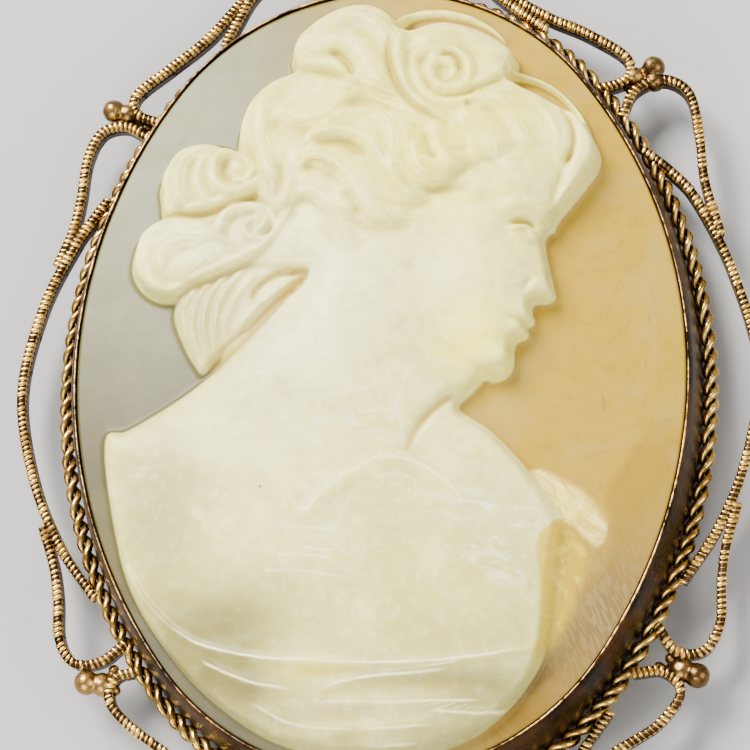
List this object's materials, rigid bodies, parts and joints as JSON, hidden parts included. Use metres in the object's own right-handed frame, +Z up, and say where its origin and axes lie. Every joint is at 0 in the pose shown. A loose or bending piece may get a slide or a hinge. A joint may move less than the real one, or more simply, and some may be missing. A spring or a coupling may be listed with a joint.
{
  "type": "cameo brooch pendant",
  "caption": "Oval shell cameo with a carved bust in a tall gold bezel, with a rope edge, a filigree ribbon border with balls, a back pin and a pendant loop.",
  "frame": {"origin": "middle of the part's box in X and Y, on the surface that the pin fittings lie on", "axes": "+X to the right of the carved face, +Y up the oval's long axis towards the pendant loop, +Z up out of the carved face"},
  "size_m": [0.0372, 0.0538, 0.0086],
  "materials": {
    "shell": "carved shell, polished ground, cream relief on a grey to amber ground",
    "gold": "antique gold, worn bright on the edges, dark in the recesses",
    "fittings": "plain antique gold"
  },
  "bodies": {
    "root": {"cameo": "shell", "setting": "gold", "brooch_pin": "fittings", "bail": "fittings"}
  },
  "joints": []
}
